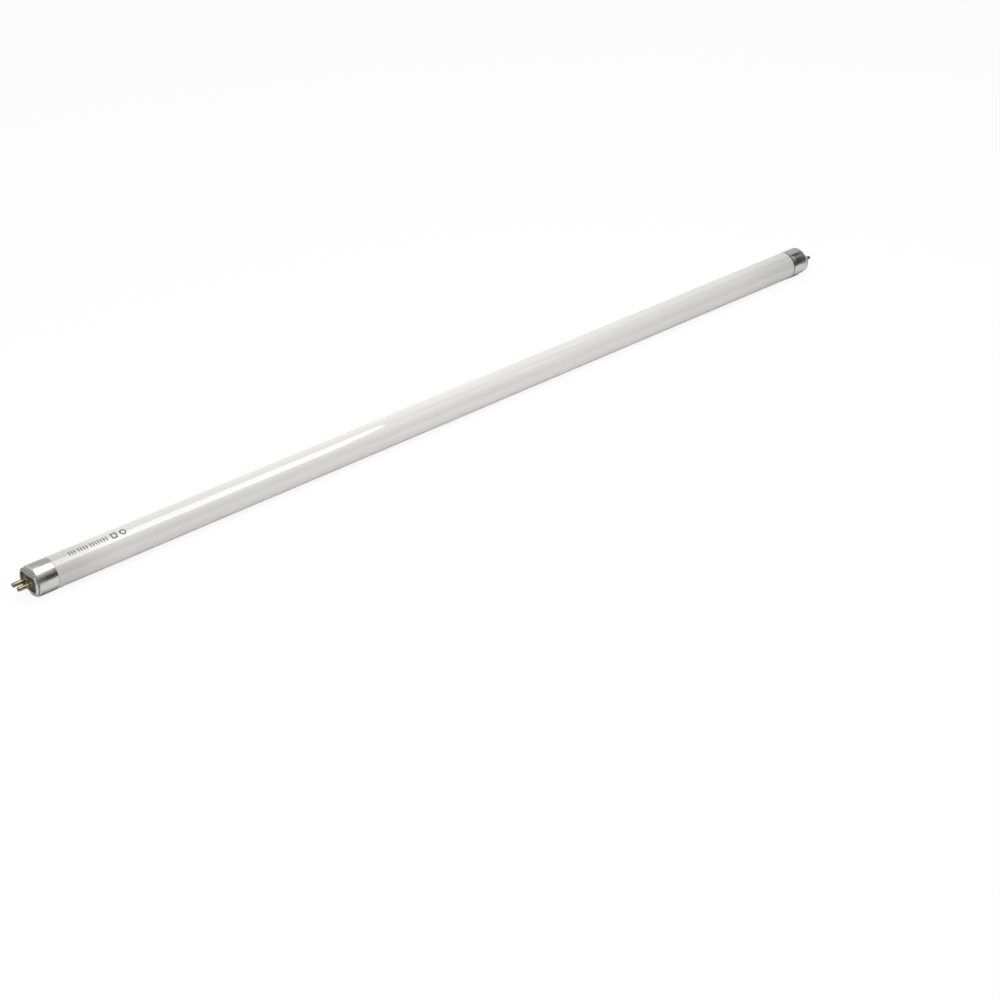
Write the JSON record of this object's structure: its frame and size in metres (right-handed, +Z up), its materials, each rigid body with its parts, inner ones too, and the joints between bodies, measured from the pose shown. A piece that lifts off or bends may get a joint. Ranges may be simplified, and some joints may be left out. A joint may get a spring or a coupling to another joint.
{
  "type": "linear fluorescent tube",
  "caption": "Slim straight white glass lamp tube with pressed aluminium end caps and brass contact pins that plug into the holders of a light fitting.",
  "frame": {"origin": "middle of the tube, on its axis", "axes": "+X along the tube towards the right end, +Y from the front pins to the rear pins, +Z up"},
  "size_m": [0.5632, 0.016, 0.016],
  "materials": {
    "phosphor_glass": "phosphor-coated glass, glossy outside",
    "aluminium": "drawn, bright",
    "phenolic": "moulded, satin",
    "brass": "drawn, bright",
    "cement": "matt",
    "nickel_wire": "dull"
  },
  "bodies": {
    "root": {"glass_tube": "phosphor_glass", "left_cement": "cement", "left_end_cap": "aluminium", "left_front_lead_wire": "nickel_wire", "left_front_pin": "brass", "left_insulator": "phenolic", "left_rear_lead_wire": "nickel_wire", "left_rear_pin": "brass", "right_cement": "cement", "right_end_cap": "aluminium", "right_front_lead_wire": "nickel_wire", "right_front_pin": "brass", "right_insulator": "phenolic", "right_rear_lead_wire": "nickel_wire", "right_rear_pin": "brass"}
  },
  "joints": []
}
